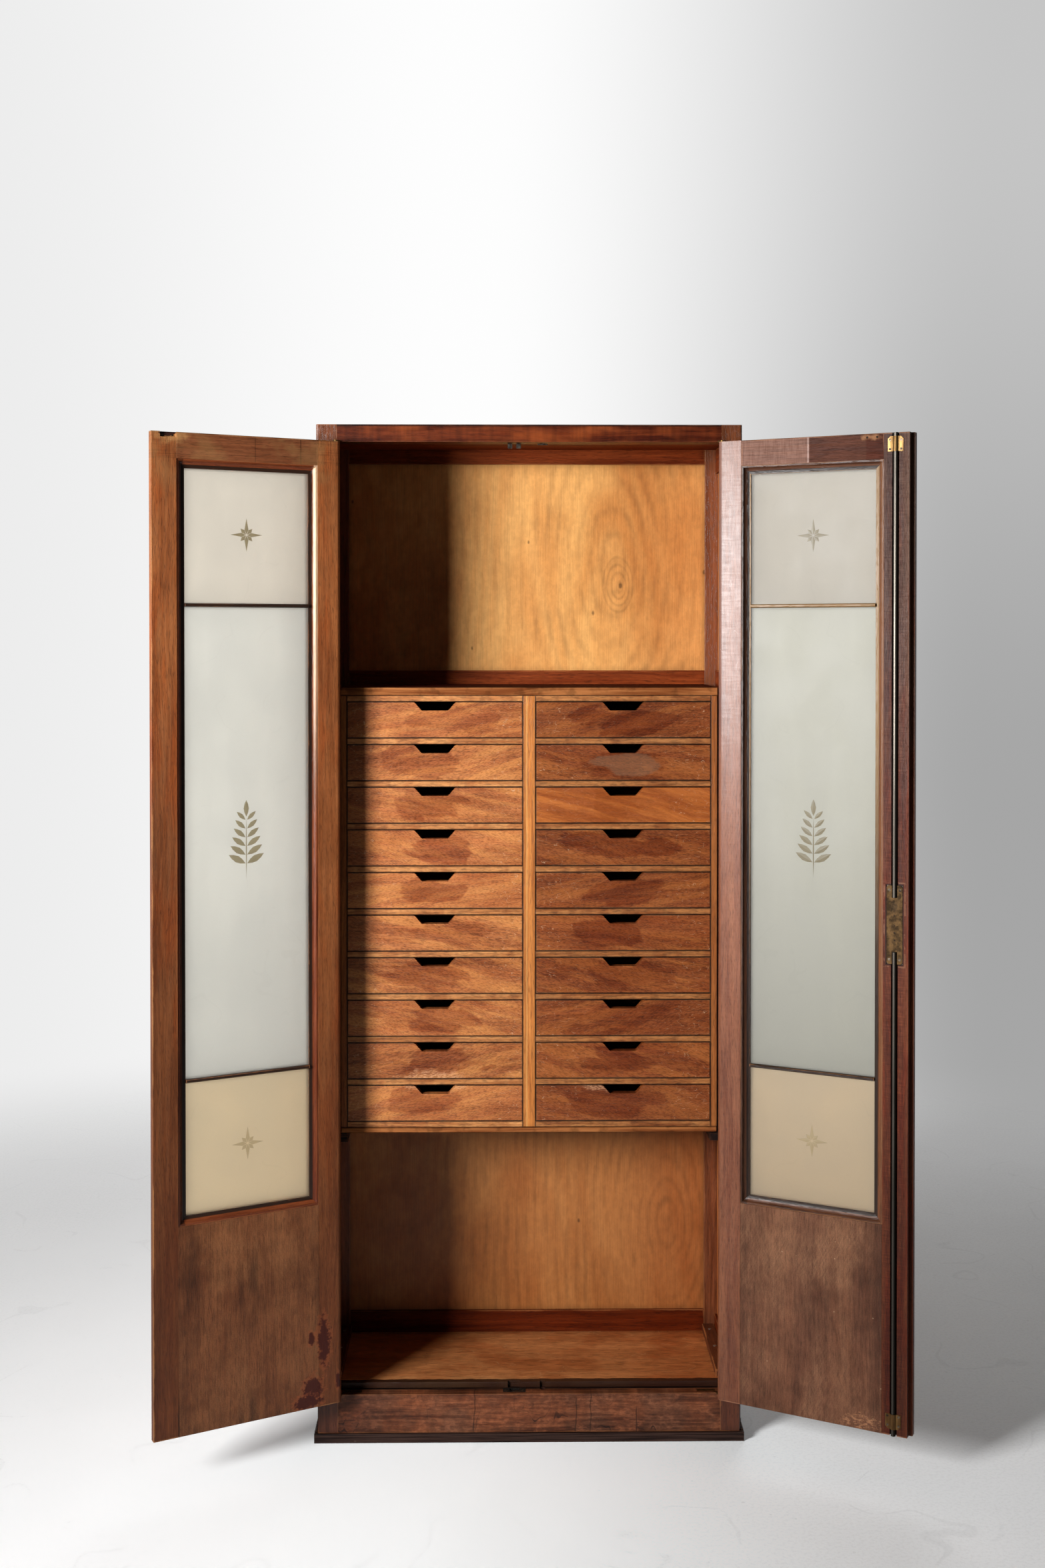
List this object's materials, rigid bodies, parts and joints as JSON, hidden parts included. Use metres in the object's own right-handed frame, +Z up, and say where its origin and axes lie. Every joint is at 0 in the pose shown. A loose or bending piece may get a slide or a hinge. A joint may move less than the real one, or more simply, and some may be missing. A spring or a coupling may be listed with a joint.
{
  "type": "card file cabinet",
  "caption": "Tall wooden cabinet with glazed hinged doors, a nest of shallow card drawers between open compartments, and a rack-and-pinion rod lock on one door.",
  "frame": {"origin": "on the floor, at the middle of the front, in the plane of the post fronts", "axes": "+Z up, the front faces -Y, +X to the right as seen from the front"},
  "size_m": [1.4195, 0.5123, 2],
  "materials": {
    "red_wood": "polished, worn",
    "dark_wood": "dull, worn",
    "worn_wood": "worn",
    "plywood": "satin",
    "nest_wood": "satin, worn edges",
    "drawer_wood": "polished, worn",
    "door_wood": "satin, worn edges",
    "opal_glass": "frosted, lit from behind",
    "steel": "worn",
    "brass": "aged"
  },
  "bodies": {
    "carcass": {"posts": "red_wood", "head_rail": "red_wood", "top_board": "red_wood", "side_rails": "red_wood", "side_panels": "plywood", "back_rails": "red_wood", "back_panels": "plywood", "floor_board": "worn_wood", "sill": "dark_wood", "plinth_board": "red_wood", "base_strips": "dark_wood", "side_coves": "dark_wood", "floor_battens": "red_wood", "bearers": "dark_wood", "keepers": "steel", "fixed_pivots": "brass", "nest_uprights": "nest_wood", "nest_boards": "nest_wood", "nest_rails": "nest_wood", "nest_runners": "worn_wood", "nest_back": "plywood"},
    "left_door": {"left_stiles": "door_wood", "left_head": "door_wood", "left_panel": "door_wood", "left_beads": "door_wood", "left_panes": "opal_glass", "left_pivots": "brass"},
    "right_door": {"right_stiles": "door_wood", "right_head": "door_wood", "right_panel": "door_wood", "right_beads": "door_wood", "right_panes": "opal_glass", "right_pivots": "brass", "lock_case": "steel", "lock_cover": "brass", "rod_guides": "brass"},
    "upper_rod": {"upper_rod": "steel"},
    "lower_rod": {"lower_rod": "steel"},
    "lock_pinion": {"lock_pinion": "steel"},
    "drawer_left_01": {"drawer_left_01": "drawer_wood"},
    "drawer_left_02": {"drawer_left_02": "drawer_wood"},
    "drawer_left_03": {"drawer_left_03": "drawer_wood"},
    "drawer_left_04": {"drawer_left_04": "drawer_wood"},
    "drawer_left_05": {"drawer_left_05": "drawer_wood"},
    "drawer_left_06": {"drawer_left_06": "drawer_wood"},
    "drawer_left_07": {"drawer_left_07": "drawer_wood"},
    "drawer_left_08": {"drawer_left_08": "drawer_wood"},
    "drawer_left_09": {"drawer_left_09": "drawer_wood"},
    "drawer_left_10": {"drawer_left_10": "drawer_wood"},
    "drawer_right_01": {"drawer_right_01": "drawer_wood"},
    "drawer_right_02": {"drawer_right_02": "drawer_wood"},
    "drawer_right_03": {"drawer_right_03": "drawer_wood"},
    "drawer_right_04": {"drawer_right_04": "drawer_wood"},
    "drawer_right_05": {"drawer_right_05": "drawer_wood"},
    "drawer_right_06": {"drawer_right_06": "drawer_wood"},
    "drawer_right_07": {"drawer_right_07": "drawer_wood"},
    "drawer_right_08": {"drawer_right_08": "drawer_wood"},
    "drawer_right_09": {"drawer_right_09": "drawer_wood"},
    "drawer_right_10": {"drawer_right_10": "drawer_wood"}
  },
  "joints": [
    {"name": "left_door_hinge", "type": "hinge", "parent": "carcass", "child": "left_door", "pos_m": [-0.3776, -0.0062, 1.03], "axis": [0, 0, -1], "range_deg": [-152.6, 27.4]},
    {"name": "right_door_hinge", "type": "hinge", "parent": "carcass", "child": "right_door", "pos_m": [0.3776, -0.0062, 1.03], "axis": [0, 0, 1], "range_deg": [-152.6, 27.4]},
    {"name": "lower_rod_slide", "type": "slide", "parent": "right_door", "child": "lower_rod", "axis": [0, 0, -1], "range_m": [0, 0.012]},
    {"name": "upper_rod_slide", "type": "slide", "parent": "right_door", "child": "upper_rod", "axis": [0, 0, 1], "range_m": [0, 0.012]},
    {"name": "lock_pinion_turn", "type": "hinge", "parent": "right_door", "child": "lock_pinion", "pos_m": [0.67896, -0.18775, 1.05], "axis": [0.4602, 0.8878, 0], "range_deg": [0, 126]},
    {"name": "drawer_left_01_slide", "type": "slide", "parent": "carcass", "child": "drawer_left_01", "axis": [0, -1, 0], "range_m": [0, 0.18]},
    {"name": "drawer_left_02_slide", "type": "slide", "parent": "carcass", "child": "drawer_left_02", "axis": [0, -1, 0], "range_m": [0, 0.18]},
    {"name": "drawer_left_03_slide", "type": "slide", "parent": "carcass", "child": "drawer_left_03", "axis": [0, -1, 0], "range_m": [0, 0.18]},
    {"name": "drawer_left_04_slide", "type": "slide", "parent": "carcass", "child": "drawer_left_04", "axis": [0, -1, 0], "range_m": [0, 0.18]},
    {"name": "drawer_left_05_slide", "type": "slide", "parent": "carcass", "child": "drawer_left_05", "axis": [0, -1, 0], "range_m": [0, 0.18]},
    {"name": "drawer_left_06_slide", "type": "slide", "parent": "carcass", "child": "drawer_left_06", "axis": [0, -1, 0], "range_m": [0, 0.18]},
    {"name": "drawer_left_07_slide", "type": "slide", "parent": "carcass", "child": "drawer_left_07", "axis": [0, -1, 0], "range_m": [0, 0.18]},
    {"name": "drawer_left_08_slide", "type": "slide", "parent": "carcass", "child": "drawer_left_08", "axis": [0, -1, 0], "range_m": [0, 0.18]},
    {"name": "drawer_left_09_slide", "type": "slide", "parent": "carcass", "child": "drawer_left_09", "axis": [0, -1, 0], "range_m": [0, 0.18]},
    {"name": "drawer_left_10_slide", "type": "slide", "parent": "carcass", "child": "drawer_left_10", "axis": [0, -1, 0], "range_m": [0, 0.18]},
    {"name": "drawer_right_01_slide", "type": "slide", "parent": "carcass", "child": "drawer_right_01", "axis": [0, -1, 0], "range_m": [0, 0.18]},
    {"name": "drawer_right_02_slide", "type": "slide", "parent": "carcass", "child": "drawer_right_02", "axis": [0, -1, 0], "range_m": [0, 0.18]},
    {"name": "drawer_right_03_slide", "type": "slide", "parent": "carcass", "child": "drawer_right_03", "axis": [0, -1, 0], "range_m": [0, 0.18]},
    {"name": "drawer_right_04_slide", "type": "slide", "parent": "carcass", "child": "drawer_right_04", "axis": [0, -1, 0], "range_m": [0, 0.18]},
    {"name": "drawer_right_05_slide", "type": "slide", "parent": "carcass", "child": "drawer_right_05", "axis": [0, -1, 0], "range_m": [0, 0.18]},
    {"name": "drawer_right_06_slide", "type": "slide", "parent": "carcass", "child": "drawer_right_06", "axis": [0, -1, 0], "range_m": [0, 0.18]},
    {"name": "drawer_right_07_slide", "type": "slide", "parent": "carcass", "child": "drawer_right_07", "axis": [0, -1, 0], "range_m": [0, 0.18]},
    {"name": "drawer_right_08_slide", "type": "slide", "parent": "carcass", "child": "drawer_right_08", "axis": [0, -1, 0], "range_m": [0, 0.18]},
    {"name": "drawer_right_09_slide", "type": "slide", "parent": "carcass", "child": "drawer_right_09", "axis": [0, -1, 0], "range_m": [0, 0.18]},
    {"name": "drawer_right_10_slide", "type": "slide", "parent": "carcass", "child": "drawer_right_10", "axis": [0, -1, 0], "range_m": [0, 0.18]}
  ],
  "couplings": [
    {"joint": "upper_rod_slide", "follows": "lower_rod_slide", "ratio": 1},
    {"joint": "lock_pinion_turn", "follows": "lower_rod_slide", "rad_per_m": 181.82}
  ]
}
